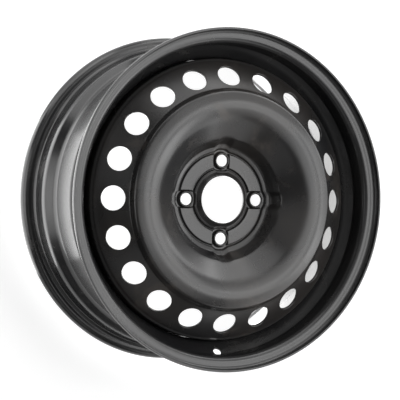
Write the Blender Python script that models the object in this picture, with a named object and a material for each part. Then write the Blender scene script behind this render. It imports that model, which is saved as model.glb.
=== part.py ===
"""Pressed steel road wheel: a rolled rim with a pressed disc welded inside its well.

The wheel lies on its inboard lip with its axis along +Z and its outboard face up. The
origin is at the middle of the inboard lip, on the surface that the wheel lies on. Every
section is a path of straight runs and rounded corners on one face of a sheet, thickened
by the sheet's gauge and turned about the axis.
"""
import math

import bmesh
import bpy
from mathutils import Matrix, Vector

# Rim section, a J flange with a drop centre
SEAT_RADIUS = 0.2183
RIM_WIDTH = 0.1778
FLANGE_HEIGHT = 0.0175
RIM_SHEET = 0.0025
LIP_WIDTH = 0.0136
LIP_CURL = 0.0097
LIP_TURN = math.radians(112.5)
HEEL_FILLET = 0.0065
SEAT_WIDTH = 0.0210
SEAT_TAPER = math.radians(5)
HUMP_HEIGHT = 0.0011
HUMP_WIDTH = 0.0060
HUMP_FILLET = 0.0040
INBOARD_SHOULDER = 0.0334
OUTBOARD_SHOULDER = 0.0286
SHOULDER_FILLET = 0.0048
SLOPE = math.radians(45)
LEG_DEPTH = 0.0138
STEP_FILLET = 0.0054
WELL_DEPTH = 0.0197
WELL_LENGTH = 0.0266
WELL_FILLET = 0.0107

# Disc section, heights above the face that meets the hub, runs measured outwards
OFFSET = 0.0535
DISC_SHEET = 0.0036
BORE_RADIUS = 0.03255
COLLAR_HEIGHT = 0.0137
COLLAR_RUN = 0.00625
COLLAR_FOOT = 0.0080
COLLAR_FILLET = 0.0016
RING_RUN = 0.0032
RING_HEIGHT = 0.0071
GROOVE_FLOOR = 0.0012
GROOVE_WALL = 0.0014
GROOVE_SPACING = 0.02195
PAD_HEIGHT = 0.0073
EDGE_FILLET = 0.0008
LEDGE_RUN = 0.0080
LEDGE_HEIGHT = 0.0088
FOOT_FILLET = 0.0054
POCKET_HEIGHT = 0.0530
POCKET_FILLET = 0.0214
CROWN_HEIGHT = 0.0555
CROWN_FILLET = 0.0642
BROW_HEIGHT = 0.0522
BROW_FILLET = 0.0054
CREASE_INSET = 0.0433
CREASE_FILLET = 0.0037
TURN_DOWN_FILLET = 0.0128
EDGE_SETBACK = 0.0060

# Where the dome's corners stand between the ledge and the crease
POCKET_PLACE = 0.4154
CROWN_PLACE = 0.6692
BROW_PLACE = 0.9293

# Openings in the two sheets
VENT_COUNT = 20
VENT_INSET = 0.0250
VENT_HEIGHT = 0.0261
VENT_RADIUS = 0.0166
VENT_SLOPE = math.radians(36)
LUG_COUNT = 4
LUG_CIRCLE = 0.0540
LUG_RADIUS = 0.0081
VALVE_RADIUS = 0.00575
VALVE_ANGLE = math.radians(270)
VALVE_RISE = 0.0036

# Dished seats round the lug holes, radii and runs from the hole's own axis
CUP_RELIEF = 0.0002
CUP_FLOOR = 0.0040
CUP_RADIUS = 0.0132
CUP_WALL = 0.0017
SEAT_THROAT = 0.0062
SEAT_FOOT = 0.0082
SEAT_TOP = 0.0100
SEAT_CONE = 0.0013
SEAT_RIM = 0.0009
SEAT_FALL = 0.0022
HOLLOW_RUN = 0.0022
HOLLOW_HEIGHT = 0.0020

# Weld beads along the disc's inboard edge
WELD_COUNT = 8
WELD_STEPS = 3
WELD_LEG = 0.0036
WELD_CROWN = 0.0007
WELD_END_SCALE = 0.45

GAP = 0.0003
TURN_STEPS = 40
LUG_STEPS = 20
VENT_STEPS = 16
CHORD_ERROR = 0.0003
SMALLEST_FILLET = 0.0004
CUT_REACH = 0.0120
SHARP_EDGE = math.radians(35)
LEVEL, UPRIGHT = 1, 0

LEG_RADIUS = SEAT_RADIUS - LEG_DEPTH
WELL_RADIUS = SEAT_RADIUS - WELL_DEPTH
SHOULDER_RADIUS = SEAT_RADIUS - SEAT_WIDTH * math.tan(SEAT_TAPER)
INBOARD_FACE = LIP_WIDTH
OUTBOARD_FACE = LIP_WIDTH + RIM_WIDTH
RIM_HEIGHT = OUTBOARD_FACE + LIP_WIDTH
OUTER_RADIUS = SEAT_RADIUS + FLANGE_HEIGHT
HUB_FACE = RIM_HEIGHT / 2 + OFFSET
WELL_BORE = WELL_RADIUS - RIM_SHEET
DISC_RADIUS = WELL_BORE - GAP
SLOPE_TOP = OUTBOARD_FACE - OUTBOARD_SHOULDER
WELL_END = SLOPE_TOP - (SHOULDER_RADIUS - WELL_RADIUS) / math.tan(SLOPE)
WELL_START = WELL_END - WELL_LENGTH
DISC_EDGE = WELL_START + EDGE_SETBACK
VENT_CIRCLE = DISC_RADIUS - VENT_INSET
VENT_FACE = HUB_FACE + VENT_HEIGHT


def left_of(direction):
    """The unit vector to the left of a direction in the section plane."""
    return Vector((-direction.y, direction.x))


def turn_between(arriving, leaving):
    """Signed angle from one direction to the next, positive to the left."""
    return math.atan2(arriving.cross(leaving), arriving.dot(leaving))


def corner_arc(before, corner, after):
    """Points of the arc that rounds one corner of a path, or the corner if it turns little."""
    point, radius = Vector(corner[:2]), corner[2]
    arriving = (point - Vector(before[:2])).normalized()
    leaving = (Vector(after[:2]) - point).normalized()
    turn = turn_between(arriving, leaving)
    widest = 2 * math.acos(1 - min(CHORD_ERROR / radius, 1))
    steps = round(abs(turn) / widest)
    if not steps:
        return [point]
    start = point - arriving * radius * math.tan(abs(turn) / 2)
    centre = start + left_of(arriving) * math.copysign(radius, turn)
    return [centre + Matrix.Rotation(turn * step / steps, 2) @ (start - centre)
            for step in range(steps + 1)]


def fitted(corners):
    """The same corners, with fillets cut down where they don't fit between their neighbours."""
    places = [Vector(corner[:2]) for corner in corners]
    runs = [b - a for a, b in zip(places, places[1:])]
    tangents = [corner[2] * math.tan(abs(turn_between(arriving, leaving)) / 2)
                for corner, arriving, leaving in zip(corners[1:], runs, runs[1:])]
    needs = [a + b for a, b in zip([0.0, *tangents], [*tangents, 0.0])]
    shares = [min(1.0, run.length / need) if need else 1.0 for run, need in zip(runs, needs)]
    inner = [(*corner[:2], corner[2] * min(near, far))
             for corner, near, far in zip(corners[1:], shares, shares[1:])]
    return [corners[0], *inner, corners[-1]]


def rounded(corners):
    """Points along a path of (radius, height, fillet) corners."""
    corners = fitted(corners)
    points = [Vector(corners[0][:2])]
    for before, corner, after in zip(corners, corners[1:], corners[2:]):
        points.extend(corner_arc(before, corner, after))
    points.append(Vector(corners[-1][:2]))
    return points


def shifted(corners, distance, end_cuts):
    """The same path moved to its left, with each end cut level or upright."""
    places = [Vector(corner[:2]) for corner in corners]
    runs = [(b - a).normalized() for a, b in zip(places, places[1:])]
    ends = []
    for end, run, cut in ((places[0], runs[0], end_cuts[0]), (places[-1], runs[-1], end_cuts[1])):
        on_line = end + left_of(run) * distance
        ends.append((*(on_line + run * (end[cut] - on_line[cut]) / run[cut]), 0.0))
    inner = []
    for place, corner, arriving, leaving in zip(places[1:], corners[1:], runs, runs[1:]):
        turn = turn_between(arriving, leaving)
        bisector = (left_of(arriving) + left_of(leaving)).normalized()
        fillet = corner[2] - math.copysign(distance, turn * distance)
        inner.append((*(place + bisector * distance / math.cos(turn / 2)),
                      max(fillet, SMALLEST_FILLET)))
    return [ends[0], *inner, ends[1]]


def sheet_section(corners, gauge, end_cuts):
    """Closed section of a sheet, its gauge to the left of the path or, if negative, right."""
    return rounded(corners) + rounded(shifted(corners, gauge, end_cuts))[::-1]


def turned_mesh(section, steps, angle=2 * math.pi):
    """Surface swept about Z by a section in radius and height, closed at the axis if it meets it."""
    shape = bmesh.new()
    verts = [shape.verts.new((point.x, 0.0, point.y)) for point in section]
    for start, end in zip(verts, verts[1:] + verts[:1]):
        if start.co.x or end.co.x:
            shape.edges.new((start, end))
    whole = angle == 2 * math.pi
    bmesh.ops.spin(shape, geom=shape.verts[:] + shape.edges[:], axis=(0, 0, 1), cent=(0, 0, 0),
                   angle=angle, steps=steps, use_merge=whole)
    bmesh.ops.remove_doubles(shape, verts=shape.verts[:], dist=GAP / 10)
    if not whole:
        bmesh.ops.holes_fill(shape, edges=[edge for edge in shape.edges if edge.is_boundary])
    bmesh.ops.recalc_face_normals(shape, faces=shape.faces[:])
    return shape


def add_object(name, shape):
    """Put a bmesh into the scene as a named object, and free it."""
    mesh = bpy.data.meshes.new(name)
    shape.to_mesh(mesh)
    shape.free()
    body = bpy.data.objects.new(name, mesh)
    bpy.context.scene.collection.objects.link(body)
    return body


def copies_round_axis(shape, placing, angles):
    """A new bmesh with one placed copy of a shape at each angle about Z."""
    template = bpy.data.meshes.new("template")
    shape.to_mesh(template)
    shape.free()
    group = bmesh.new()
    for angle in angles:
        before = len(group.verts)
        group.from_mesh(template)
        group.verts.ensure_lookup_table()
        bmesh.ops.transform(group, matrix=Matrix.Rotation(angle, 4, "Z") @ placing,
                            verts=group.verts[before:])
    bpy.data.meshes.remove(template)
    return group


def drill(radius, steps):
    """A cylinder along Z, centred, long enough to pass through a sheet."""
    shape = bmesh.new()
    bmesh.ops.create_cone(shape, cap_ends=True, segments=steps, radius1=radius, radius2=radius,
                          depth=2 * CUT_REACH)
    return shape


def combine(body, tool, operation):
    """Apply a Boolean between a body and a tool object, and remove the tool."""
    tool.hide_render = True
    tool.display_type = "WIRE"
    modifier = body.modifiers.new(operation.title(), "BOOLEAN")
    modifier.operation = operation
    modifier.solver = "EXACT"
    modifier.object = tool
    depsgraph = bpy.context.evaluated_depsgraph_get()
    result = bpy.data.meshes.new_from_object(body.evaluated_get(depsgraph))
    body.modifiers.clear()
    old_mesh, body.data = body.data, result
    result.name = body.name
    bpy.data.meshes.remove(old_mesh)
    bpy.data.objects.remove(tool)


def paint(body, colour, roughness, metallic):
    """Give an object its own material and smooth shading with crisp edges."""
    material = bpy.data.materials.new(body.name + "_finish")
    material.use_nodes = True
    surface = material.node_tree.nodes["Principled BSDF"]
    surface.inputs["Base Color"].default_value = (*colour, 1.0)
    surface.inputs["Roughness"].default_value = roughness
    surface.inputs["Metallic"].default_value = metallic
    body.data.materials.clear()
    body.data.materials.append(material)
    body.data.shade_smooth()
    body.data.set_sharp_from_angle(angle=SHARP_EDGE)


def lip_corners(face, outward):
    """The two corners of a flange, from its curled lip's end to its flat wall.

    The wall stands at the height face, and outward is the way that the lip points.
    """
    wall_end = OUTER_RADIUS - LIP_CURL
    corner_radius = wall_end + LIP_CURL * math.tan(LIP_TURN / 2)
    tail = LIP_WIDTH / math.sin(LIP_TURN)
    lip_end = (corner_radius + tail * math.cos(LIP_TURN), face + outward * LIP_WIDTH, 0.0)
    return [lip_end, (corner_radius, face, LIP_CURL)]


def seat_corners(face, outward):
    """The corners of a bead seat and its hump, from the flange's heel inwards."""
    places = ((SEAT_RADIUS, 0.0, HEEL_FILLET),
              (SHOULDER_RADIUS, SEAT_WIDTH, HUMP_FILLET),
              (SHOULDER_RADIUS + HUMP_HEIGHT, SEAT_WIDTH + HUMP_WIDTH / 2, HUMP_FILLET))
    return [(radius, face - outward * depth, fillet) for radius, depth, fillet in places]


def build_rim():
    """The rolled hoop: two curled flanges, their bead seats, the leg and the well."""
    rise = math.tan(SLOPE)
    leg_start = INBOARD_FACE + INBOARD_SHOULDER + (SHOULDER_RADIUS - LEG_RADIUS) / rise
    leg_end = WELL_START - (LEG_RADIUS - WELL_RADIUS) / rise
    inboard = lip_corners(INBOARD_FACE, -1) + seat_corners(INBOARD_FACE, -1)
    outboard = lip_corners(OUTBOARD_FACE, 1) + seat_corners(OUTBOARD_FACE, 1)
    corners = inboard + [
        (SHOULDER_RADIUS, INBOARD_FACE + INBOARD_SHOULDER, SHOULDER_FILLET),
        (LEG_RADIUS, leg_start, STEP_FILLET),
        (LEG_RADIUS, leg_end, STEP_FILLET),
        (WELL_RADIUS, WELL_START, STEP_FILLET),
        (WELL_RADIUS, WELL_END, WELL_FILLET),
        (SHOULDER_RADIUS, SLOPE_TOP, SHOULDER_FILLET),
    ] + outboard[::-1]
    section = sheet_section(corners, RIM_SHEET, (LEVEL, LEVEL))
    rim = add_object("rim", turned_mesh(section, TURN_STEPS))
    hole_radius = SHOULDER_RADIUS - VALVE_RISE * rise - RIM_SHEET / 2 * math.cos(SLOPE)
    hole_height = SLOPE_TOP - VALVE_RISE + RIM_SHEET / 2 * math.sin(SLOPE)
    placing = (Matrix.Translation((hole_radius, 0, hole_height))
               @ Matrix.Rotation(-SLOPE, 4, "Y"))
    hole = copies_round_axis(drill(VALVE_RADIUS, VENT_STEPS), placing, [VALVE_ANGLE])
    combine(rim, add_object("valve_drill", hole), "DIFFERENCE")
    paint(rim, (0.016, 0.016, 0.017), 0.38, 0.0)
    return rim


def disc_corners():
    """The outboard face of the disc, from its bore out to its turned-down flange."""
    half = GROOVE_FLOOR / 2
    slope = math.tan(VENT_SLOPE)
    collar_foot = BORE_RADIUS + COLLAR_RUN
    ring_edge = collar_foot + RING_RUN
    inner = ring_edge + (GROOVE_WALL + GROOVE_FLOOR) / 2
    outer = inner + GROOVE_SPACING
    ledge = outer + LEDGE_RUN
    crease = DISC_RADIUS - CREASE_INSET
    pocket, crown, brow = (ledge + (crease - ledge) * place
                           for place in (POCKET_PLACE, CROWN_PLACE, BROW_PLACE))
    heights = [
        (BORE_RADIUS, COLLAR_HEIGHT, 0.0),
        (collar_foot, COLLAR_FOOT, COLLAR_FILLET),
        (ring_edge, RING_HEIGHT, EDGE_FILLET),
        (inner - half, DISC_SHEET, EDGE_FILLET),
        (inner + half, DISC_SHEET, EDGE_FILLET),
        (inner + half + GROOVE_WALL, PAD_HEIGHT, EDGE_FILLET),
        (outer - half - GROOVE_WALL, PAD_HEIGHT, EDGE_FILLET),
        (outer - half, DISC_SHEET, EDGE_FILLET),
        (outer + half, DISC_SHEET, EDGE_FILLET),
        (outer + half + GROOVE_WALL, PAD_HEIGHT, EDGE_FILLET),
        (ledge, LEDGE_HEIGHT, FOOT_FILLET),
        (pocket, POCKET_HEIGHT, POCKET_FILLET),
        (crown, CROWN_HEIGHT, CROWN_FILLET),
        (brow, BROW_HEIGHT, BROW_FILLET),
        (crease, VENT_HEIGHT + (VENT_CIRCLE - crease) * slope, CREASE_FILLET),
        (DISC_RADIUS, VENT_HEIGHT - (DISC_RADIUS - VENT_CIRCLE) * slope, TURN_DOWN_FILLET),
        (DISC_RADIUS, DISC_EDGE - HUB_FACE, 0.0),
    ]
    return [(radius, HUB_FACE + height, fillet) for radius, height, fillet in heights]


def turned_plug(corners):
    """A solid turned about a lug hole's own axis from (radius, height) corners."""
    return turned_mesh([Vector(corner) for corner in corners], LUG_STEPS)


def dish_cutter():
    """What a lug's dish takes away from the sheet: its open top and the floor below."""
    floor = CUP_FLOOR - CUP_RELIEF
    clear = LUG_RADIUS + SEAT_CONE + SEAT_RIM + SEAT_FALL
    return turned_plug([
        (0.0, -CUT_REACH),
        (clear, -CUT_REACH),
        (clear, floor),
        (CUP_RADIUS, floor),
        (CUP_RADIUS + CUP_WALL, PAD_HEIGHT - CUP_RELIEF),
        (CUP_RADIUS + CUP_WALL, CUT_REACH),
        (0.0, CUT_REACH),
    ])


def lug_cup():
    """The floor of a lug's dish, with the raised cone that the bolt sits in."""
    cone_top = LUG_RADIUS + SEAT_CONE
    crest = cone_top + SEAT_RIM
    return turned_plug([
        (LUG_RADIUS, SEAT_THROAT),
        (LUG_RADIUS, SEAT_FOOT),
        (cone_top, SEAT_TOP),
        (crest, SEAT_TOP),
        (crest + SEAT_FALL, CUP_FLOOR),
        (CUP_RADIUS + CUP_WALL, CUP_FLOOR),
        (CUP_RADIUS + CUP_WALL, CUP_RELIEF),
        (LUG_RADIUS + HOLLOW_RUN, CUP_RELIEF),
        (LUG_RADIUS + HOLLOW_RUN, HOLLOW_HEIGHT),
    ])


def build_disc():
    """The pressed disc: hub face, lug seats, pocket, dome, vented slope and flange."""
    section = sheet_section(disc_corners(), -DISC_SHEET, (UPRIGHT, LEVEL))
    disc = add_object("disc", turned_mesh(section, TURN_STEPS))
    vent_angles = [2 * math.pi * index / VENT_COUNT for index in range(VENT_COUNT)]
    vent_place = (Matrix.Translation((VENT_CIRCLE, 0, VENT_FACE))
                  @ Matrix.Rotation(VENT_SLOPE, 4, "Y"))
    vents = copies_round_axis(drill(VENT_RADIUS, VENT_STEPS), vent_place, vent_angles)
    combine(disc, add_object("vent_drills", vents), "DIFFERENCE")
    lug_angles = [2 * math.pi * index / LUG_COUNT for index in range(LUG_COUNT)]
    lug_place = Matrix.Translation((LUG_CIRCLE, 0, HUB_FACE))
    for name, plug, operation in (("dish_cutters", dish_cutter(), "DIFFERENCE"),
                                  ("lug_cups", lug_cup(), "UNION")):
        plugs = copies_round_axis(plug, lug_place, lug_angles)
        combine(disc, add_object(name, plugs), operation)
    paint(disc, (0.014, 0.014, 0.015), 0.34, 0.0)
    return disc


def build_weld_bead(number, angle):
    """One fillet weld between the disc's inboard edge and the well's bore."""
    root_radius, root_height = DISC_RADIUS, DISC_EDGE - GAP
    middle = WELD_LEG / 2 + WELD_CROWN * math.cos(SLOPE)
    section = [
        Vector((root_radius, root_height)),
        Vector((root_radius, root_height - WELD_LEG)),
        Vector((root_radius - middle, root_height - middle)),
        Vector((root_radius - WELD_LEG, root_height)),
    ]
    span = 2 * math.pi * WELD_STEPS / TURN_STEPS
    shape = turned_mesh(section, WELD_STEPS, span)
    for vert in shape.verts:
        turned = math.atan2(vert.co.y, vert.co.x)
        if min(turned, span - turned) > span / WELD_STEPS / 2:
            continue
        root = Vector((vert.co.x, vert.co.y, 0)).normalized() * root_radius
        root.z = root_height
        vert.co = root.lerp(vert.co, WELD_END_SCALE)
    bmesh.ops.rotate(shape, cent=(0, 0, 0), matrix=Matrix.Rotation(angle, 3, "Z"),
                     verts=shape.verts[:])
    bead = add_object(f"weld_bead_{number:02d}", shape)
    paint(bead, (0.018, 0.018, 0.019), 0.45, 0.0)
    return bead


def build_wheel():
    """Model every piece of the wheel."""
    for old in list(bpy.data.objects):
        bpy.data.objects.remove(old)
    build_rim()
    build_disc()
    for index in range(WELD_COUNT):
        build_weld_bead(index + 1, 2 * math.pi * index / WELD_COUNT)


build_wheel()
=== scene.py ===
"""Studio picture of a pressed steel road wheel in black enamel.

The wheel lies on its inboard lip with its axis along +Z. Every sheet is modelled as a
section, a path of straight runs and rounded corners on one face, thickened by the gauge
and spun about the axis; the hub is then pressed and the holes are cut. Lengths are in
metres and angles in radians, unless a name says otherwise.
"""
import logging
import math
from dataclasses import dataclass, field
from enum import Enum
from typing import Iterable, Sequence, Union

import bmesh
import bpy
from mathutils import Matrix, Vector


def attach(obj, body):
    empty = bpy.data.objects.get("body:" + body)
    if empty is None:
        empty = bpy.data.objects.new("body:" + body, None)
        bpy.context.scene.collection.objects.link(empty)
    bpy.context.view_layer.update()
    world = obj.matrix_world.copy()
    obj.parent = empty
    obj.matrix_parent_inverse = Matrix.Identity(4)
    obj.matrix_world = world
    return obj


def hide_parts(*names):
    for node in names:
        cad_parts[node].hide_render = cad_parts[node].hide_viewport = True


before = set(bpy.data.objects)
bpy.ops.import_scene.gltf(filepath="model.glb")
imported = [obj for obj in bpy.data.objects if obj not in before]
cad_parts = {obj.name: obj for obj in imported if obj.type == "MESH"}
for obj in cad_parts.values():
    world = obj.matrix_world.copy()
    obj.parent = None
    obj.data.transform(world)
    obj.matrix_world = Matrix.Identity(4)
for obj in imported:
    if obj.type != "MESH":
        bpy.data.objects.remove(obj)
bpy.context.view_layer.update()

log = logging.getLogger("wheel")
FULL_TURN = 2 * math.pi
MERGE_DISTANCE = 0.00003
Skin = bmesh.types.BMesh
Socket = bpy.types.NodeSocket
Operand = Union[Socket, float]
Triple = tuple[float, float, float]
# Mix's colour sockets go by number, because its other types repeat their names.
MIX_SHARE, MIX_CLEAN, MIX_DUSTY, MIX_RESULT = 0, 6, 7, 2


class Cut(Enum):
    """How a sheet's end is trimmed, as the number of the coordinate that it keeps."""

    UPRIGHT = 0
    LEVEL = 1


class Side(Enum):
    """Which end of the rim a flange stands at, as the sign of its outward height."""

    INBOARD = -1
    OUTBOARD = 1


@dataclass(frozen=True)
class Corner:
    """A corner of a section: radius from the axis, height and fillet."""

    radius: float
    height: float
    fillet: float = 0.0

    @property
    def place(self) -> Vector:
        """The corner as a point in the section plane."""
        return Vector((self.radius, self.height))


def left_of(direction: Vector) -> Vector:
    """Return the unit vector to the left of a direction in the section plane."""
    return Vector((-direction.y, direction.x))


def turn_between(arriving: Vector, leaving: Vector) -> float:
    """Return the signed angle from one direction to the next, positive to the left."""
    return math.atan2(arriving.cross(leaving), arriving.dot(leaving))


def turn_shares(count: int) -> list[float]:
    """Return the angles that share a full turn evenly, from zero."""
    return [FULL_TURN * index / count for index in range(count)]


def grey(level: float) -> tuple[float, float, float, float]:
    """Return an opaque grey."""
    return (level, level, level, 1.0)


def smooth_step(low: float, high: float, value: float) -> float:
    """Return a smooth rise from 0 at low to 1 at high, where high may be the lower."""
    share = min(max((value - low) / (high - low), 0.0), 1.0)
    return share * share * (3.0 - 2.0 * share)


@dataclass(frozen=True)
class Section:
    """Draws corners as points: arcs at the fillets, long runs divided."""

    chord_error: float = 0.00003
    longest_run: float = 0.005

    def arc(self, before: Corner, corner: Corner, after: Corner) -> list[Vector]:
        """Round one corner with an arc.

        Args:
            before: The corner before it.
            corner: The corner to round.
            after: The corner after it.

        Returns:
            The arc's points in order, or the corner itself where it has no fillet.
        """
        if not corner.fillet:
            return [corner.place]
        arriving = (corner.place - before.place).normalized()
        leaving = (after.place - corner.place).normalized()
        turn = turn_between(arriving, leaving)
        start = corner.place - arriving * corner.fillet * math.tan(abs(turn) / 2)
        centre = start + left_of(arriving) * math.copysign(corner.fillet, turn)
        widest = 2 * math.acos(1 - min(self.chord_error / corner.fillet, 1))
        steps = max(2, math.ceil(abs(turn) / widest))
        return [centre + Matrix.Rotation(turn * step / steps, 2) @ (start - centre)
                for step in range(steps + 1)]

    def loop(self, corners: Sequence[Corner]) -> list[Vector]:
        """Go round a closed section.

        Args:
            corners: The section's corners in order, without a repeated end.

        Returns:
            The points in order, with no run longer than the longest.
        """
        points: list[Vector] = []
        befores, afters = [corners[-1], *corners[:-1]], [*corners[1:], corners[0]]
        for before, corner, after in zip(befores, corners, afters):
            points.extend(self.arc(before, corner, after))
        divided: list[Vector] = []
        for start, end in zip(points, points[1:] + points[:1]):
            parts = max(1, math.ceil((end - start).length / self.longest_run))
            divided.extend(start.lerp(end, part / parts) for part in range(parts))
        return divided


PUNCH_SECTION = Section(longest_run=1.0)
CUTTER_SECTION = Section(chord_error=0.00001, longest_run=1.0)


@dataclass(frozen=True)
class SheetPath:
    """One face of a sheet as corners, with its gauge and how its sheared ends are cut."""

    corners: tuple[Corner, ...]
    gauge: float
    end_cuts: tuple[Cut, Cut]
    edge_round: float = 0.0005
    smallest_fillet: float = 0.0003

    def other_face(self) -> tuple[Corner, ...]:
        """Move the path to its left by the gauge.

        Returns:
            The corners of the sheet's other face, in the path's order.
        """
        corners, distance = self.corners, self.gauge
        runs = [(b.place - a.place).normalized() for a, b in zip(corners, corners[1:])]
        ends = []
        for end, run, cut in ((corners[0], runs[0], self.end_cuts[0]),
                              (corners[-1], runs[-1], self.end_cuts[1])):
            on_line = end.place + left_of(run) * distance
            slide = (end.place[cut.value] - on_line[cut.value]) / run[cut.value]
            ends.append(Corner(*(on_line + run * slide), self.edge_round))
        inner = []
        for corner, arriving, leaving in zip(corners[1:], runs, runs[1:]):
            turn = turn_between(arriving, leaving)
            bisector = (left_of(arriving) + left_of(leaving)).normalized()
            fillet = corner.fillet - math.copysign(distance, turn * distance)
            place = corner.place + bisector * distance / math.cos(turn / 2)
            inner.append(Corner(*place, max(fillet, self.smallest_fillet)))
        return (ends[0], *inner, ends[1])

    def outline(self, section: Section) -> list[Vector]:
        """Go round the whole sheet, with its sheared edges rounded.

        Args:
            section: How finely the outline is drawn.

        Returns:
            The outline's points in order.
        """
        first, *middle, last = self.corners
        drawn = [Corner(first.radius, first.height, self.edge_round), *middle,
                 Corner(last.radius, last.height, self.edge_round)]
        return section.loop(drawn + list(self.other_face())[::-1])


def swept(outline: Iterable[Sequence[float]], angle: float, steps: int) -> Skin:
    """Spin a closed outline about Z, from angle 0.

    Args:
        outline: The section's points, in radius and height.
        angle: How far it is spun.
        steps: The number of facets along the way.

    Returns:
        A new bmesh, which is closed only after a full turn.
    """
    shape = bmesh.new()
    verts = [shape.verts.new((radius, 0.0, height)) for radius, height in outline]
    for start, end in zip(verts, verts[1:] + verts[:1]):
        shape.edges.new((start, end))
    bmesh.ops.spin(shape, geom=shape.verts[:] + shape.edges[:], axis=(0, 0, 1),
                   cent=(0, 0, 0), angle=angle, steps=steps, use_merge=angle == FULL_TURN)
    return shape


def spun(outline: Iterable[Sequence[float]], steps: int) -> Skin:
    """Spin a closed outline once round Z.

    Args:
        outline: The section's points, in radius and height.
        steps: The number of facets round the axis.

    Returns:
        A new closed bmesh with its faces pointing out.
    """
    shape = swept(outline, FULL_TURN, steps)
    poles = [vert for vert in shape.verts if vert.co.xy.length < MERGE_DISTANCE]
    bmesh.ops.remove_doubles(shape, verts=poles, dist=MERGE_DISTANCE)
    bmesh.ops.recalc_face_normals(shape, faces=shape.faces[:])
    return shape


def add_object(name: str, shape: Skin) -> bpy.types.Object:
    """Put a bmesh into the scene.

    Args:
        name: The name of the object and of its mesh.
        shape: The bmesh, which is freed.

    Returns:
        The new object, which sits at the origin.
    """
    mesh = bpy.data.meshes.new(name)
    shape.to_mesh(mesh)
    shape.free()
    body = bpy.data.objects.new(name, mesh)
    bpy.context.scene.collection.objects.link(body)
    return body


def ring_of(shape: Skin, placing: Matrix, angles: Iterable[float]) -> Skin:
    """Repeat a shape about Z.

    Args:
        shape: The shape to repeat, which is freed.
        placing: Where a copy stands at angle 0.
        angles: The angle of each copy.

    Returns:
        A new bmesh with all the copies.
    """
    template = bpy.data.meshes.new("template")
    shape.to_mesh(template)
    shape.free()
    group = bmesh.new()
    for angle in angles:
        before = len(group.verts)
        group.from_mesh(template)
        group.verts.ensure_lookup_table()
        bmesh.ops.transform(group, matrix=Matrix.Rotation(angle, 4, "Z") @ placing,
                            verts=group.verts[before:])
    bpy.data.meshes.remove(template)
    return group


def combine(body: bpy.types.Object, tool: bpy.types.Object,
            operation: str = "DIFFERENCE") -> None:
    """Cut a tool out of a body, or join the two.

    Args:
        body: The object to change.
        tool: The object to cut with or to join, which is removed.
        operation: The boolean's operation.
    """
    modifier = body.modifiers.new("Combine", "BOOLEAN")
    modifier.operation = operation
    modifier.solver = "EXACT"
    modifier.object = tool
    depsgraph = bpy.context.evaluated_depsgraph_get()
    result = bpy.data.meshes.new_from_object(body.evaluated_get(depsgraph))
    body.modifiers.clear()
    old_mesh, body.data = body.data, result
    bpy.data.meshes.remove(old_mesh)
    bpy.data.objects.remove(tool)
    result.name = body.name


def shade(body: bpy.types.Object, sharp_angle: float = math.radians(38)) -> None:
    """Shade a body smooth, with edges sharper than the angle kept crisp."""
    body.data.shade_smooth()
    body.data.set_sharp_from_angle(angle=sharp_angle)


@dataclass(frozen=True)
class Finish:
    """A paint finish, and how far the surface varies from it.

    Dusty is the colour under full dust and wear. Sizes and depths are of the film's relief.
    """

    name: str
    colour: Triple
    dusty: Triple
    roughness: float
    roughness_spread: float
    peel_size: float = 0.0016
    peel_depth: float = 0.000003
    line_depth: float = 0.0
    wear: float = 0.0


HOOP_FINISH = Finish(
    "rim_enamel", colour=(0.0100, 0.0100, 0.0106), dusty=(0.034, 0.033, 0.032),
    roughness=0.215, roughness_spread=0.06, line_depth=0.000004, wear=0.35)
DISC_FINISH = Finish(
    "disc_enamel", colour=(0.0085, 0.0086, 0.0091), dusty=(0.043, 0.036, 0.031),
    roughness=0.25, roughness_spread=0.08, wear=0.3)
WELD_FINISH = Finish(
    "weld_enamel", colour=(0.011, 0.011, 0.0113), dusty=(0.030, 0.029, 0.028),
    roughness=0.36, roughness_spread=0.10, peel_size=0.0012, peel_depth=0.000012, wear=0.5)


@dataclass(frozen=True)
class Blotches:
    """A noise, and the two levels between which it rises into a mask."""

    scale: float
    detail: float
    low: float
    high: float
    roughness: float = 0.5
    distortion: float = 0.0


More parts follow.
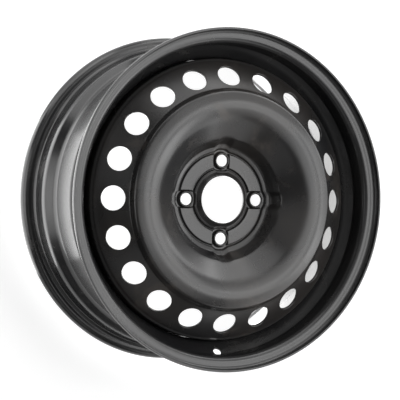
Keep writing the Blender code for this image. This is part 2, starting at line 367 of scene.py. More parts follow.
class NodePlan:
    """Adds and links nodes in one node tree."""

    def __init__(self, tree: bpy.types.NodeTree) -> None:
        """Keep the tree to draw in."""
        self.tree = tree

    def add(self, kind: str, values: dict[str | int, object] | None = None,
            **settings: object) -> bpy.types.Node:
        """Add a node.

        Args:
            kind: The node's type.
            values: The default values of its inputs, by socket name or number.
            settings: The node's own properties.

        Returns:
            The new node.
        """
        node = self.tree.nodes.new(kind)
        for key, value in settings.items():
            setattr(node, key, value)
        for socket, value in (values or {}).items():
            node.inputs[socket].default_value = value
        return node

    def link(self, start: Socket, end: Socket) -> None:
        """Join an output to an input."""
        self.tree.links.new(start, end)

    def math(self, operation: str, first: Operand, second: Operand | None = None) -> Socket:
        """Add a Math node.

        Args:
            operation: The node's operation.
            first: A socket or a number.
            second: A socket, a number or nothing.

        Returns:
            The result's socket.
        """
        node = self.add("ShaderNodeMath", operation=operation)
        for socket, value in zip(node.inputs, (first, second)):
            if isinstance(value, Socket):
                self.link(value, socket)
            elif value is not None:
                socket.default_value = value
        return node.outputs[0]

    def weighted(self, *terms: tuple[Socket, float]) -> Socket:
        """Add up sockets by weight.

        Args:
            terms: Each socket with its weight.

        Returns:
            The sum's socket.
        """
        total = None
        for socket, weight in terms:
            part = self.math("MULTIPLY", socket, weight)
            total = part if total is None else self.math("ADD", total, part)
        return total

    def ramp(self, value: Socket, low: float, high: float) -> Socket:
        """Turn a value into a smooth rise.

        Args:
            value: The value's socket.
            low: The level at which the result is 0.
            high: The level at which the result is 1, which may be the lower.

        Returns:
            The result's socket.
        """
        node = self.add("ShaderNodeMapRange", {"From Min": low, "From Max": high},
                        interpolation_type="SMOOTHSTEP")
        self.link(value, node.inputs["Value"])
        return node.outputs["Result"]

    def blotches(self, place: Socket, pattern: Blotches) -> Socket:
        """Draw a noise as a mask.

        Args:
            place: The coordinates that the noise reads.
            pattern: The noise and the mask's levels.

        Returns:
            The mask's socket.
        """
        noise = self.add("ShaderNodeTexNoise", {
            "Scale": pattern.scale, "Detail": pattern.detail,
            "Roughness": pattern.roughness, "Distortion": pattern.distortion})
        self.link(place, noise.inputs["Vector"])
        return self.ramp(noise.outputs["Fac"], pattern.low, pattern.high)


class GroupPlan(NodePlan):
    """The plan of a new node group, with the group's own inputs as its source."""

    def __init__(self, name: str, inputs: Sequence[str], outputs: Sequence[str]) -> None:
        """Make the group and its sockets.

        Args:
            name: The group's name.
            inputs: Names of its inputs, the first a vector and the rest numbers.
            outputs: Names of its number outputs.
        """
        super().__init__(bpy.data.node_groups.new(name, "ShaderNodeTree"))
        sockets = [(socket, "INPUT", "NodeSocketFloat") for socket in inputs]
        sockets[0] = (inputs[0], "INPUT", "NodeSocketVector")
        sockets += [(socket, "OUTPUT", "NodeSocketFloat") for socket in outputs]
        for socket, side, kind in sockets:
            self.tree.interface.new_socket(socket, in_out=side, socket_type=kind)
        self.source = self.add("NodeGroupInput").outputs
        self.result = self.add("NodeGroupOutput").inputs

    def put(self, output: str, value: Socket) -> None:
        """Send a value out of the group."""
        self.link(value, self.result[output])


@dataclass
class Enamel:
    """Baked black enamel on steel, as materials that share their surface effects.

    A tone is how far an effect moves the colour from clean to dusty, and a dulling how far
    it moves the roughness along its spread.
    """

    specular_level: float = 0.62
    middle_height: float = 0.1
    clouds: Blotches = Blotches(9.0, 3.0, low=0.3, high=0.7)
    smudges: Blotches = Blotches(26.0, 6.0, low=0.56, high=0.74, roughness=0.62,
                                 distortion=0.7)
    stains: Blotches = Blotches(13.0, 9.0, low=0.57, high=0.66, roughness=0.66,
                                distortion=0.5)
    nib_places: Blotches = Blotches(60.0, 1.0, low=0.58, high=0.66)
    rub_breaks: Blotches = Blotches(75.0, 5.0, low=0.42, high=0.62)
    peel_detail: float = 2.0
    peel_roughness: float = 0.45
    nib_scale: float = 170.0
    nib_foot: float = 0.10
    nib_top: float = 0.02
    nib_height: float = 0.00003
    ring_scale: float = 420.0
    ring_detail: float = 3.0
    ring_drift: float = 0.004
    rub_start: float = 0.53
    rub_full: float = 0.62
    cloud_tone: float = 0.30
    smudge_tone: float = 0.30
    stain_tone: float = 0.45
    cloud_dulling: float = 0.6
    rub_dulling: float = 1.2
    groups: dict[str, GroupPlan] = field(default_factory=dict)
    materials: dict[str, bpy.types.Material] = field(default_factory=dict)

    def draw_tone(self, plan: GroupPlan) -> None:
        """Draw clouds of film thickness, the smudges of handling and rarer dried stains.

        Args:
            plan: The plan of the group.
        """
        for output, pattern in (("Clouds", self.clouds), ("Smudges", self.smudges),
                                ("Stains", self.stains)):
            plan.put(output, plan.blotches(plan.source["Vector"], pattern))

    def draw_peel(self, plan: GroupPlan) -> None:
        """Draw the film's orange peel and the nibs of dust baked into it.

        Args:
            plan: The plan of the group.
        """
        waves = plan.add("ShaderNodeTexNoise", {"Detail": self.peel_detail,
                                                "Roughness": self.peel_roughness})
        nibs = plan.add("ShaderNodeTexVoronoi", {"Scale": self.nib_scale, "Randomness": 1.0})
        for node in (waves, nibs):
            plan.link(plan.source["Vector"], node.inputs["Vector"])
        plan.link(plan.math("DIVIDE", 1.0, plan.source["Size"]), waves.inputs["Scale"])
        spots = plan.ramp(nibs.outputs["Distance"], self.nib_foot, self.nib_top)
        chance = plan.blotches(plan.source["Vector"], self.nib_places)
        plan.put("Peel", waves.outputs["Fac"])
        plan.put("Nibs", plan.math("MULTIPLY", spots, chance))

    def draw_lines(self, plan: GroupPlan) -> None:
        """Draw the faint rings that forming rolls leave round the axis.

        Args:
            plan: The plan of the group.
        """
        parts = plan.add("ShaderNodeSeparateXYZ")
        plan.link(plan.source["Vector"], parts.inputs[0])
        across, along, height = parts.outputs
        drift = plan.math("SINE", plan.math("ARCTAN2", along, across))
        radius = plan.math("SQRT", plan.math("ADD", plan.math("POWER", across, 2.0),
                                             plan.math("POWER", along, 2.0)))
        joined = plan.add("ShaderNodeCombineXYZ")
        for value, socket in zip((plan.math("MULTIPLY", drift, self.ring_drift), radius,
                                  height), joined.inputs):
            plan.link(value, socket)
        rings = plan.add("ShaderNodeTexNoise", {"Scale": self.ring_scale,
                                                "Detail": self.ring_detail})
        plan.link(joined.outputs[0], rings.inputs["Vector"])
        plan.put("Rings", rings.outputs["Fac"])

    def draw_wear(self, plan: GroupPlan) -> None:
        """Draw the broken rub marks along convex edges.

        Args:
            plan: The plan of the group.
        """
        shape = plan.add("ShaderNodeNewGeometry")
        edges = plan.ramp(shape.outputs["Pointiness"], self.rub_start, self.rub_full)
        breaks = plan.blotches(plan.source["Vector"], self.rub_breaks)
        plan.put("Wear", plan.math("MULTIPLY", edges, breaks))

    def effects(self, plan: NodePlan, finish: Finish) -> dict[str, Socket]:
        """Place the shared effects in a material, each group made on first use.

        Args:
            plan: The material's plan.
            finish: The finish that the material is for.

        Returns:
            The effects' outputs by name.
        """
        coords = plan.add("ShaderNodeTexCoord")
        centred = plan.add("ShaderNodeMapping", {"Location": (0.0, 0.0, -self.middle_height)})
        plan.link(coords.outputs["Object"], centred.inputs["Vector"])
        found = {}
        for name, inputs, outputs, draw in (
                ("coat_tone", ["Vector"], ["Clouds", "Smudges", "Stains"], self.draw_tone),
                ("coat_peel", ["Vector", "Size"], ["Peel", "Nibs"], self.draw_peel),
                ("roll_lines", ["Vector"], ["Rings"], self.draw_lines),
                ("edge_wear", ["Vector"], ["Wear"], self.draw_wear)):
            if name not in self.groups:
                self.groups[name] = GroupPlan(name, inputs, outputs)
                draw(self.groups[name])
            node = plan.add("ShaderNodeGroup", node_tree=self.groups[name].tree)
            plan.link(centred.outputs[0], node.inputs["Vector"])
            if "Size" in inputs:
                node.inputs["Size"].default_value = finish.peel_size
            found.update((output, node.outputs[output]) for output in outputs)
        return found

    def material(self, finish: Finish) -> bpy.types.Material:
        """Mix a finish, with its own shader and the shared effects.

        Args:
            finish: The finish to make.

        Returns:
            Its new material.
        """
        material = bpy.data.materials.new(finish.name)
        material.use_nodes = True
        plan = NodePlan(material.node_tree)
        shader = plan.tree.nodes["Principled BSDF"]
        shader.inputs["Specular IOR Level"].default_value = self.specular_level
        seen = self.effects(plan, finish)
        tone = plan.add("ShaderNodeMix", {MIX_CLEAN: (*finish.colour, 1.0),
                                          MIX_DUSTY: (*finish.dusty, 1.0)},
                        data_type="RGBA", clamp_factor=True)
        plan.link(plan.weighted((seen["Clouds"], self.cloud_tone),
                                (seen["Smudges"], self.smudge_tone),
                                (seen["Stains"], self.stain_tone),
                                (seen["Wear"], finish.wear)), tone.inputs[MIX_SHARE])
        plan.link(tone.outputs[MIX_RESULT], shader.inputs["Base Color"])
        dull = plan.weighted((seen["Clouds"], self.cloud_dulling), (seen["Smudges"], 1.0),
                             (seen["Stains"], 1.0), (seen["Wear"], self.rub_dulling))
        plan.link(plan.math("ADD", plan.math("MULTIPLY", dull, finish.roughness_spread),
                            finish.roughness), shader.inputs["Roughness"])
        bump = plan.add("ShaderNodeBump", {"Strength": 1.0, "Distance": 1.0})
        plan.link(plan.weighted((seen["Peel"], finish.peel_depth),
                                (seen["Nibs"], self.nib_height),
                                (seen["Rings"], finish.line_depth)), bump.inputs["Height"])
        plan.link(bump.outputs[0], shader.inputs["Normal"])
        return material

    def paint(self, piece: bpy.types.Object, finish: Finish) -> None:
        """Give a piece its finish as its only material.

        Args:
            piece: The piece to paint.
            finish: Its finish, which is mixed on first use.
        """
        if finish.name not in self.materials:
            self.materials[finish.name] = self.material(finish)
        piece.data.materials.clear()
        piece.data.materials.append(self.materials[finish.name])


@dataclass(frozen=True)
class PunchedHole:
    """A round hole punched square through a conical sheet, with its edges rounded.

    The slope is the sheet's fall away from the axis, and place is the middle of the hole
    on the sheet's upper face. The mouth's values are shares of the edge's rounding.
    """

    radius: float
    place: tuple[float, float]
    slope: float
    gauge: float
    edge_round: float = 0.0005
    mouth_widening: float = 1.3
    mouth_lift: float = 0.25
    overshoot: float = 0.0040
    segments: int = 96

    def punch(self, angles: Iterable[float]) -> bpy.types.Object:
        """Make the cutter, each punch bent to the sheet's curve.

        Args:
            angles: The angle of each hole about Z.

        Returns:
            One object with a punch at every hole.
        """
        soft, flare = self.edge_round, self.edge_round * self.mouth_lift
        wide = self.radius + self.mouth_widening * soft
        corners = [
            Corner(0.0, self.overshoot),
            Corner(wide, self.overshoot),
            Corner(wide, flare),
            Corner(self.radius, -soft, soft),
            Corner(self.radius, -self.gauge + soft, soft),
            Corner(wide, -self.gauge - flare),
            Corner(wide, -self.gauge - self.overshoot),
            Corner(0.0, -self.gauge - self.overshoot),
        ]
        shape = spun(PUNCH_SECTION.loop(corners), self.segments)
        fall, run = math.sin(self.slope), math.cos(self.slope)
        for vert in shape.verts:
            reach = self.place[0] + vert.co.x * run
            vert.co.z -= fall * vert.co.y ** 2 / (2 * reach)
        placing = (Matrix.Translation((self.place[0], 0, self.place[1]))
                   @ Matrix.Rotation(self.slope, 4, "Y"))
        return add_object("punch", ring_of(shape, placing, angles))


@dataclass
class RimHoop:
    """The rolled hoop: two curled flanges, their bead seats, the leg and the well."""

    name: str = "rim_hoop"
    node: str = "rim"
    slot: str = "rim_paint"
    finish: Finish = HOOP_FINISH
    seat_radius: float = 0.2183
    rim_width: float = 0.1778
    flange_height: float = 0.0175
    gauge: float = 0.0025
    lip_width: float = 0.0136
    lip_curl: float = 0.0097
    lip_turn: float = math.radians(112.5)
    heel_fillet: float = 0.0065
    seat_width: float = 0.0210
    seat_taper: float = math.radians(5)
    hump_height: float = 0.0011
    hump_width: float = 0.0060
    hump_fillet: float = 0.0040
    inboard_shoulder: float = 0.0334
    outboard_shoulder: float = 0.0286
    shoulder_fillet: float = 0.0048
    slope: float = math.radians(45)
    leg_radius: float = 0.2045
    leg_shoulder_fillet: float = 0.0070
    leg_fillet: float = 0.0160
    step_fillet: float = 0.0054
    well_radius: float = 0.1986
    well_length: float = 0.0266
    well_fillet: float = 0.0107
    valve_radius: float = 0.00575
    valve_rise: float = 0.0036
    valve_angle: float = math.radians(270)
    valve_segments: int = 48
    steps: int = 360

    @property
    def outboard_face(self) -> float:
        """Height of the outboard flange's flat face."""
        return self.lip_width + self.rim_width

    @property
    def height(self) -> float:
        """Height of the whole hoop."""
        return self.outboard_face + self.lip_width

    @property
    def toe_radius(self) -> float:
        """Radius at the foot of a tapered bead seat, where the shoulder starts."""
        return self.seat_radius - self.seat_width * math.tan(self.seat_taper)

    @property
    def slope_top(self) -> float:
        """Height at which the outboard shoulder turns down into the well's slope."""
        return self.outboard_face - self.outboard_shoulder

    @property
    def well_end(self) -> float:
        """Height of the well's outboard end."""
        return self.slope_top - (self.toe_radius - self.well_radius) / math.tan(self.slope)

    @property
    def well_start(self) -> float:
        """Height of the well's inboard end."""
        return self.well_end - self.well_length

    def flange_corners(self, side: Side) -> list[Corner]:
        """Place a flange's curled lip, its bead seat and the seat's hump.

        Args:
            side: Which flange it is.

        Returns:
            The corners from the lip's end inwards.
        """
        face = self.lip_width if side is Side.INBOARD else self.outboard_face
        wall_end = self.seat_radius + self.flange_height - self.lip_curl
        lip_radius = wall_end + self.lip_curl * math.tan(self.lip_turn / 2)
        tail = self.lip_width / math.sin(self.lip_turn)
        hump_place = self.seat_width + self.hump_width / 2
        return [
            Corner(lip_radius + tail * math.cos(self.lip_turn),
                   face + side.value * self.lip_width),
            Corner(lip_radius, face, self.lip_curl),
            Corner(self.seat_radius, face, self.heel_fillet),
            Corner(self.toe_radius, face - side.value * self.seat_width, self.hump_fillet),
            Corner(self.toe_radius + self.hump_height, face - side.value * hump_place,
                   self.hump_fillet),
        ]

    def path(self) -> SheetPath:
        """Join the two flanges with the barrel.

        Returns:
            The hoop's section, drawn on its tyre side from inboard to outboard.
        """
        rise = math.tan(self.slope)
        inboard = self.lip_width + self.inboard_shoulder
        leg_start = inboard + (self.toe_radius - self.leg_radius) / rise
        leg_end = self.well_start - (self.leg_radius - self.well_radius) / rise
        corners = [
            *self.flange_corners(Side.INBOARD),
            Corner(self.toe_radius, inboard, self.leg_shoulder_fillet),
            Corner(self.leg_radius, leg_start, self.leg_fillet),
            Corner(self.leg_radius, leg_end, self.step_fillet),
            Corner(self.well_radius, self.well_start, self.step_fillet),
            Corner(self.well_radius, self.well_end, self.well_fillet),
            Corner(self.toe_radius, self.slope_top, self.shoulder_fillet),
            *self.flange_corners(Side.OUTBOARD)[::-1],
        ]
        return SheetPath(tuple(corners), self.gauge, (Cut.LEVEL, Cut.LEVEL))

    def build(self, enamel: Enamel) -> bpy.types.Object:
        """Spin the hoop, punch its valve hole and paint it.

        Args:
            enamel: Where its material comes from.

        Returns:
            The finished hoop.
        """
        hoop = add_object(self.name, spun(self.path().outline(Section()), self.steps))
        across = self.gauge / math.cos(self.slope)
        valve = PunchedHole(
            self.valve_radius,
            (self.toe_radius - self.valve_rise * math.tan(self.slope) - across / 2,
             self.slope_top - self.valve_rise + across / 2),
            -self.slope, self.gauge, segments=self.valve_segments)
        combine(hoop, valve.punch([self.valve_angle]))
        shade(hoop)
        enamel.paint(hoop, self.finish)
        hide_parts(self.node)
        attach(hoop, "root")
        return hoop


@dataclass
class LugSeat:
    """A dished seat for a wheel bolt, with a raised conical collar round its hole.

    Radii and runs are from the hole's own axis, and heights from the face that meets the
    hub. In plan the dish is a squared-off oval, narrowing times as wide as it is long.
    """

    circle: float = 0.0540
    hole_radius: float = 0.0081
    throat: float = 0.0062
    foot: float = 0.0082
    top: float = 0.0100
    cone: float = 0.0013
    rim: float = 0.0009
    fall: float = 0.0022
    floor: float = 0.0040
    floor_radius: float = 0.0132
    wall: float = 0.0017
    brow: float = 0.0072
    bite: float = 0.0019
    bite_rise: float = 1 / 3
    hollow: float = 0.0022
    hollow_height: float = 0.0020
    relief: float = 0.0002
    reach: float = 0.0300
    narrowing: float = 0.84
    squareness: int = 4
    floor_fillet: float = 0.0010
    rim_fillet: float = 0.0005
    mouth_fillet: float = 0.0004
    throat_fillet: float = 0.0003
    hollow_fillet: float = 0.0006
    segments: int = 96

    @property
    def dish_radius(self) -> float:
        """Radius of the dish at the top of its wall."""
        return self.floor_radius + self.wall

    def dish(self) -> list[Corner]:
        """Draw what the dish takes away from the sheet.

        Returns:
            The section's corners.
        """
        clear = self.hole_radius + self.cone + self.rim + self.fall
        low = self.floor - self.relief
        return [
            Corner(0.0, -self.reach),
            Corner(clear, -self.reach),
            Corner(clear, low),
            Corner(self.floor_radius, low, self.floor_fillet),
            Corner(self.dish_radius, self.brow, self.floor_fillet),
            Corner(self.dish_radius + self.bite, self.brow + self.bite * self.bite_rise),
            Corner(self.dish_radius + self.bite, self.reach),
            Corner(0.0, self.reach),
        ]

    def cup(self) -> list[Corner]:
        """Draw the dish's floor and the raised cone for the bolt.

        Returns:
            The section's corners.
        """
        cone_top = self.hole_radius + self.cone
        crest = cone_top + self.rim
        inside = self.hole_radius + self.hollow
        return [
            Corner(inside, self.relief, self.mouth_fillet),
            Corner(self.dish_radius, self.relief),
            Corner(self.dish_radius, self.floor),
            Corner(crest + self.fall, self.floor, self.floor_fillet),
            Corner(crest, self.top, self.rim_fillet),
            Corner(cone_top, self.top, self.rim_fillet),
            Corner(self.hole_radius, self.foot, self.mouth_fillet),
            Corner(self.hole_radius, self.throat, self.throat_fillet),
            Corner(inside, self.hollow_height, self.hollow_fillet),
        ]

    def tool(self, corners: Sequence[Corner], hub_face: float, angles: Iterable[float],
             narrowing: float = 1.0) -> bpy.types.Object:
        """Turn a solid about each lug hole's axis.

        Args:
            corners: The solid's section.
            hub_face: Height of the face that meets the hub.
            angles: The angle of each lug hole.
            narrowing: Width over length in plan; all but 1 also square it off.

        Returns:
            One object with a copy at every hole.
        """
        shape = spun(CUTTER_SECTION.loop(corners), self.segments)
        if narrowing != 1.0:
            for vert in shape.verts:
                angle = math.atan2(vert.co.y, vert.co.x)
                spread = (math.cos(angle) ** self.squareness
                          + (math.sin(angle) / narrowing) ** self.squareness)
                vert.co.xy *= spread ** (-1 / self.squareness)
        return add_object("seat_tool", ring_of(
            shape, Matrix.Translation((self.circle, 0, hub_face)), angles))


@dataclass
class PressedDisc:
    """The pressed disc: hub face, lug seats, pocket, dome, vented slope and flange.

    Heights are above the face that meets the hub, which stands at hub_face. The flange's
    inboard edge stands at edge. An ear is the ledge's bulge beside a lug: it rises within
    ear_blend of the outer groove, keeps its depth over the ear_flat share of its width, and
    fades out between the two shares of the ledge's radius in ear_fade.
    """

    hub_face: float
    edge: float
    name: str = "pressed_disc"
    node: str = "disc"
    slot: str = "disc_paint"
    finish: Finish = DISC_FINISH
    gauge: float = 0.0036
    bore_radius: float = 0.03255
    collar_height: float = 0.0137
    collar_foot: Corner = Corner(0.0388, 0.0080, 0.0016)
    ring_edge: Corner = Corner(0.0420, 0.0071, 0.0008)
    inner_groove: float = 0.04335
    outer_groove: float = 0.0653
    groove_floor: float = 0.0012
    groove_wall: float = 0.0014
    pad_height: float = 0.0073
    edge_fillet: float = 0.0008
    ledge_radius: float = 0.0733
    ledge_height: float = 0.0088
    foot_fillet: float = 0.0054
    wall_top: Corner = Corner(0.0832, 0.0266, 0.0110)
    pocket: Corner = Corner(0.1130, 0.0484, 0.0440)
    crown: Corner = Corner(0.1312, 0.0538, 0.0270)
    brow: Corner = Corner(0.1487, 0.0494, 0.0062)
    crease_radius: float = 0.1525
    crease_fillet: float = 0.0037
    turn_down_fillet: float = 0.0128
    flange_radius: float = 0.1958
    vent_count: int = 20
    vent_circle: float = 0.1708
    vent_height: float = 0.0261
    vent_radius: float = 0.0166
    vent_slope: float = math.radians(36)
    lug_count: int = 4
    ear: float = 0.0036
    ear_width: float = 0.0135
    ear_blend: float = 0.0020
    ear_flat: float = 1 / 3
    ear_fade: tuple[float, float] = (1.02, 1.2)
    seat: LugSeat = field(default_factory=LugSeat)
    steps: int = 320

    def path(self) -> SheetPath:
        """Draw the disc's outboard face.

        Returns:
            The disc's section, from the bore to the flange's inboard edge.
        """
        half, wall = self.groove_floor / 2, self.groove_wall
        slope, soft = math.tan(self.vent_slope), self.edge_fillet
        inner, outer = self.inner_groove, self.outer_groove
        drawn = [
            Corner(self.bore_radius, self.collar_height),
            self.collar_foot, self.ring_edge,
            Corner(inner - half, self.gauge, soft),
            Corner(inner + half, self.gauge, soft),
            Corner(inner + half + wall, self.pad_height, soft),
            Corner(outer - half - wall, self.pad_height, soft),
            Corner(outer - half, self.gauge, soft),
            Corner(outer + half, self.gauge, soft),
            Corner(outer + half + wall, self.pad_height, soft),
            Corner(self.ledge_radius, self.ledge_height, self.foot_fillet),
            self.wall_top, self.pocket, self.crown, self.brow,
            Corner(self.crease_radius,
                   self.vent_height + (self.vent_circle - self.crease_radius) * slope,
                   self.crease_fillet),
            Corner(self.flange_radius,
                   self.vent_height - (self.flange_radius - self.vent_circle) * slope,
                   self.turn_down_fillet),
            Corner(self.flange_radius, self.edge - self.hub_face),
        ]
        lifted = tuple(Corner(c.radius, self.hub_face + c.height, c.fillet) for c in drawn)
        return SheetPath(lifted, -self.gauge, (Cut.UPRIGHT, Cut.LEVEL))

    def press_hub(self, shape: Skin) -> None:
        """Bulge the ledge out round each lug.

        Args:
            shape: The disc's skin, whose vertices are moved.
        """
        pitch = FULL_TURN / self.lug_count
        inside, outside = self.outer_groove - self.ear_blend, self.outer_groove + self.ear_blend
        fade_start, fade_end = (share * self.ledge_radius for share in self.ear_fade)
        for vert in shape.verts:
            radius = vert.co.xy.length
            angle = math.atan2(vert.co.y, vert.co.x)
            across = radius * math.sin(angle - pitch * round(angle / pitch))
            spread = (smooth_step(self.ear_width, self.ear_width * self.ear_flat, abs(across))
                      * smooth_step(inside, outside, radius)
                      * smooth_step(fade_end, fade_start, radius))
            vert.co.xy *= 1 + self.ear * spread / radius

    def build(self, enamel: Enamel) -> bpy.types.Object:
        """Spin the disc, press its hub, cut its holes and paint it.

        Args:
            enamel: Where its material comes from.

        Returns:
            The finished disc.
        """
        shape = spun(self.path().outline(Section()), self.steps)
        self.press_hub(shape)
        disc = add_object(self.name, shape)
        seat, angles = self.seat, turn_shares(self.lug_count)
        combine(disc, seat.tool(seat.dish(), self.hub_face, angles, seat.narrowing))
        combine(disc, seat.tool(seat.cup(), self.hub_face, angles), "UNION")
        vent = PunchedHole(self.vent_radius,
                           (self.vent_circle, self.hub_face + self.vent_height),
                           self.vent_slope, self.gauge)
        combine(disc, vent.punch(turn_shares(self.vent_count)))
        shade(disc)
        enamel.paint(disc, self.finish)
        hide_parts(self.node)
        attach(disc, "root")
        return disc


@dataclass
class WeldBeads:
    """The short fillet welds between the disc's inboard edge and the well's bore.

    End_share is the share of a bead's length in which each end draws in to end_scale.
    """

    root_radius: float
    root_height: float
    slot: str = "weld_paint"
    finish: Finish = WELD_FINISH
    count: int = 8
    span: float = math.radians(27)
    leg: float = 0.0036
    crown: float = 0.0007
    end_scale: float = 0.45
    end_share: float = 1 / 12
    ripple_pitch: float = 0.0024
    ripple_depth: float = 0.0002
    steps: int = 240
    arc_steps: int = 10

    def bead(self) -> Skin:
        """Spin one bead from angle 0, ripple it along and draw its ends in.

        Returns:
            A new closed bmesh.
        """
        leg, crown = self.leg, self.crown
        outline = [(self.root_radius, self.root_height)]
        for step in range(self.arc_steps + 1):
            share = step / self.arc_steps
            bulge = crown * math.sin(math.pi * share) / math.sqrt(2)
            outline.append((self.root_radius - leg * share - bulge,
                            self.root_height - leg * (1 - share) - bulge))
        shape = swept(outline, self.span, self.steps)
        bmesh.ops.holes_fill(shape, edges=[edge for edge in shape.edges if edge.is_boundary])
        ripples = self.span * self.root_radius / self.ripple_pitch
        for vert in shape.verts:
            share = math.atan2(vert.co.y, vert.co.x) / self.span
            root = Vector((*(vert.co.xy.normalized() * self.root_radius), self.root_height))
            out = vert.co - root
            wave = abs(math.sin(math.pi * ripples * share)) * self.ripple_depth
            fullness = smooth_step(0, self.end_share, min(share, 1 - share))
            scale = self.end_scale + (1 - self.end_scale) * fullness
            vert.co = root + out * (scale * (1 - wave / self.leg))
        bmesh.ops.recalc_face_normals(shape, faces=shape.faces[:])
        return shape

    def build(self, enamel: Enamel) -> list[bpy.types.Object]:
        """Lay the beads round the well and paint them.

        Args:
            enamel: Where their material comes from.

        Returns:
            The beads, each standing for the weld node of its number.
        """
        beads = []
        for index, angle in enumerate(turn_shares(self.count)):
            shape = ring_of(self.bead(), Matrix.Identity(4), [angle])
            bead = add_object(f"weld_{index + 1:02d}", shape)
            shade(bead)
            enamel.paint(bead, self.finish)
            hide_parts(f"weld_bead_{index + 1:02d}")
            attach(bead, "root")
            beads.append(bead)
        return beads


@dataclass(frozen=True)
class Softbox:
    """A square soft light that looks at the wheel from an azimuth and an elevation.

    Angles are in degrees here, and shift moves the light and its aim across the floor.
    """

    name: str
    azimuth: float
    elevation: float
    watts: float
    side: float = 1.3
    distance: float = 2.0
    shift: tuple[float, float] = (0.0, 0.0)

    def build(self, aim: Vector) -> bpy.types.Object:
        """Hang the light, unseen by the camera.

        Args:
            aim: The point that it looks at, before its shift.

        Returns:
            The light.
        """
        turn, rise = math.radians(self.azimuth), math.radians(self.elevation)
        way = Vector((math.cos(turn) * math.cos(rise), math.sin(turn) * math.cos(rise),
                      math.sin(rise)))
        lamp = bpy.data.lights.new(self.name, "AREA")
        lamp.shape = "SQUARE"
        lamp.size = self.side
        lamp.energy = self.watts
        light = bpy.data.objects.new(self.name, lamp)
        light.location = aim + Vector((*self.shift, 0.0)) + way * self.distance
        light.rotation_euler = way.to_track_quat("Z", "Y").to_euler()
        light.visible_camera = False
        bpy.context.scene.collection.objects.link(light)
        return light


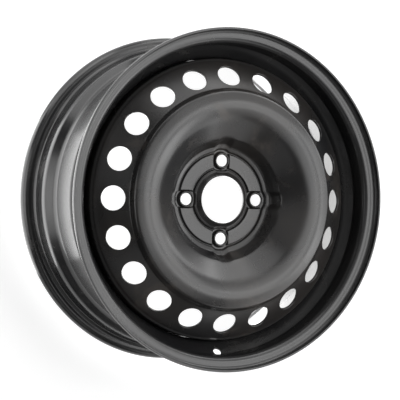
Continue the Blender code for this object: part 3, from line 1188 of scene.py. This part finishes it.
@dataclass
class Studio:
    """The white floor, the soft lights and the camera.

    To the camera and in reflections the floor glows at painted_light_glow out to
    painted_pool_edge. This is a painted pool of light that fills the wheel's shadow under it,
    where the holes look down on it.
    It glows at that level again from far_end, as painted light that lifts the far floor where
    the lamps fall off. Between them it glows at floor_glow and the lamps do the rest.
    Eye, back and up place and turn the camera.
    """

    aim: Triple = (0.0, 0.0, 0.1)
    softboxes: tuple[Softbox, ...] = (
        Softbox("right_high", 0, 52, 9.0),
        Softbox("right_face", 0, 34, 10.5),
        Softbox("right_over", 60, 74, 6.0),
        Softbox("near_over", 300, 74, 5.8),
        Softbox("overhead", 0, 78, 7.5),
        Softbox("back_high", 50, 47, 5.5),
        Softbox("back_middle", 90, 30, 8.8),
        Softbox("right_middle", 330, 30, 9.0),
        Softbox("back_low", 60, 12, 13.5),
        Softbox("right_low", 30, 8, 15.0),
        Softbox("left_high", 150, 52, 2.2),
        Softbox("left_middle", 240, 32, 2.0),
        Softbox("left_face", 180, 20, 2.0, side=0.8),
        Softbox("near_middle", 300, 20, 5.5),
        Softbox("left_card", 180, 2, 0.95, side=0.4, distance=0.55),
        Softbox("back_card", 120, 2, 1.07, side=0.4, distance=0.55),
        Softbox("light_table", 0, -90, 1.45, side=0.29, distance=0.0985),
        Softbox("left_table", 0, -90, 1.0, side=0.34, distance=0.0985, shift=(-0.38, 0.05)),
    )
    world_grey: float = 0.06
    floor_side: float = 40.0
    floor_glow: float = 0.58
    # Level of the painted light on the floor under the wheel and far out.
    painted_light_glow: float = 0.93
    floor_grey: float = 0.5
    floor_roughness: float = 0.9
    painted_pool_edge: float = 0.21
    painted_pool_fade: float = 0.29
    far_start: float = 0.45
    far_end: float = 1.1
    eye: Triple = (-1.02235, 0.00922, 2.15869)
    back: Triple = (-0.444456, 0.004625, 0.895789)
    up: Triple = (-0.014093, 0.999827, -0.012155)
    focal_pixels: float = 1616.2
    frame_pixels: float = 400.0
    sensor: float = 36.0

    def build_camera(self) -> bpy.types.Object:
        """Place the camera as the reference was taken.

        Returns:
            The camera, which is also the scene's.
        """
        lens = bpy.data.cameras.new("camera")
        lens.sensor_width = self.sensor
        lens.lens = self.focal_pixels / self.frame_pixels * self.sensor
        camera = bpy.data.objects.new("camera", lens)
        back = Vector(self.back)
        right = Vector(self.up).cross(back).normalized()
        up = back.cross(right).normalized()
        turn = Matrix((right, up, back.normalized())).transposed()
        camera.matrix_world = Matrix.Translation(self.eye) @ turn.to_4x4()
        bpy.context.scene.collection.objects.link(camera)
        bpy.context.scene.camera = camera
        return camera

    def build_floor(self) -> bpy.types.Object:
        """Lay the floor, which shows white and takes the wheel's shadow round it; under the
        wheel, painted light fills that shadow.

        Returns:
            The floor.
        """
        shape = bmesh.new()
        bmesh.ops.create_grid(shape, x_segments=2, y_segments=2, size=self.floor_side / 2)
        floor = add_object("floor", shape)
        material = bpy.data.materials.new("white_floor")
        material.use_nodes = True
        plan = NodePlan(material.node_tree)
        shader = plan.tree.nodes["Principled BSDF"]
        shader.inputs["Base Color"].default_value = grey(self.floor_grey)
        shader.inputs["Roughness"].default_value = self.floor_roughness
        shader.inputs["Specular IOR Level"].default_value = 0.0
        rays = plan.add("ShaderNodeLightPath")
        seen = plan.weighted((rays.outputs["Is Camera Ray"], 1.0),
                             (rays.outputs["Is Glossy Ray"], 1.0),
                             (rays.outputs["Is Transmission Ray"], 1.0))
        coords = plan.add("ShaderNodeTexCoord")
        reach = plan.add("ShaderNodeVectorMath", operation="LENGTH")
        plan.link(coords.outputs["Object"], reach.inputs[0])
        # Painted light: a brighter pool under the wheel that fills its shadow, and a brighter
        # far floor where the lamps fall off.
        painted_light_share = plan.math("ADD",
                        plan.ramp(reach.outputs["Value"], self.painted_pool_fade, self.painted_pool_edge),
                        plan.ramp(reach.outputs["Value"], self.far_start, self.far_end))
        painted_light_extra = plan.math("MULTIPLY", painted_light_share, self.painted_light_glow - self.floor_glow)
        shader.inputs["Emission Color"].default_value = grey(1.0)
        plan.link(plan.math("MULTIPLY", plan.math("MINIMUM", seen, 1.0),
                            plan.math("ADD", painted_light_extra, self.floor_glow)),
                  shader.inputs["Emission Strength"])
        floor.data.materials.append(material)
        return floor

    def build(self) -> None:
        """Set up the view, the world, the floor, the lights and the camera."""
        scene = bpy.context.scene
        scene.view_settings.view_transform = "Standard"
        world = bpy.data.worlds.new("studio")
        world.use_nodes = True
        background = world.node_tree.nodes["Background"]
        background.inputs["Color"].default_value = grey(self.world_grey)
        background.inputs["Strength"].default_value = 1.0
        scene.world = world
        self.build_floor()
        for softbox in self.softboxes:
            softbox.build(Vector(self.aim))
        self.build_camera()


@dataclass
class Wheel:
    """The whole wheel: its hoop, and the sizes that set the other parts to it."""

    hoop: RimHoop = field(default_factory=RimHoop)
    offset: float = 0.0535
    edge_setback: float = 0.0060
    weld_gap: float = 0.0003

    def disc(self) -> PressedDisc:
        """Return the disc, with its hub face and its edge set to the hoop."""
        return PressedDisc(hub_face=self.hoop.height / 2 + self.offset,
                           edge=self.hoop.well_start + self.edge_setback)

    def welds(self) -> WeldBeads:
        """Return the welds, set to the corner between the disc's edge and the well."""
        disc = self.disc()
        return WeldBeads(disc.flange_radius, disc.edge - self.weld_gap)

    def build(self) -> list[bpy.types.Object]:
        """Return the finished pieces: the hoop, the disc and the welds."""
        enamel = Enamel()
        return [self.hoop.build(enamel), self.disc().build(enamel),
                *self.welds().build(enamel)]


def main() -> None:
    """Build the wheel, then its studio."""
    logging.basicConfig(level=logging.INFO)
    for piece in Wheel().build():
        log.info("%s has %d faces", piece.name, len(piece.data.polygons))
    Studio().build()


if __name__ == "__main__":
    main()
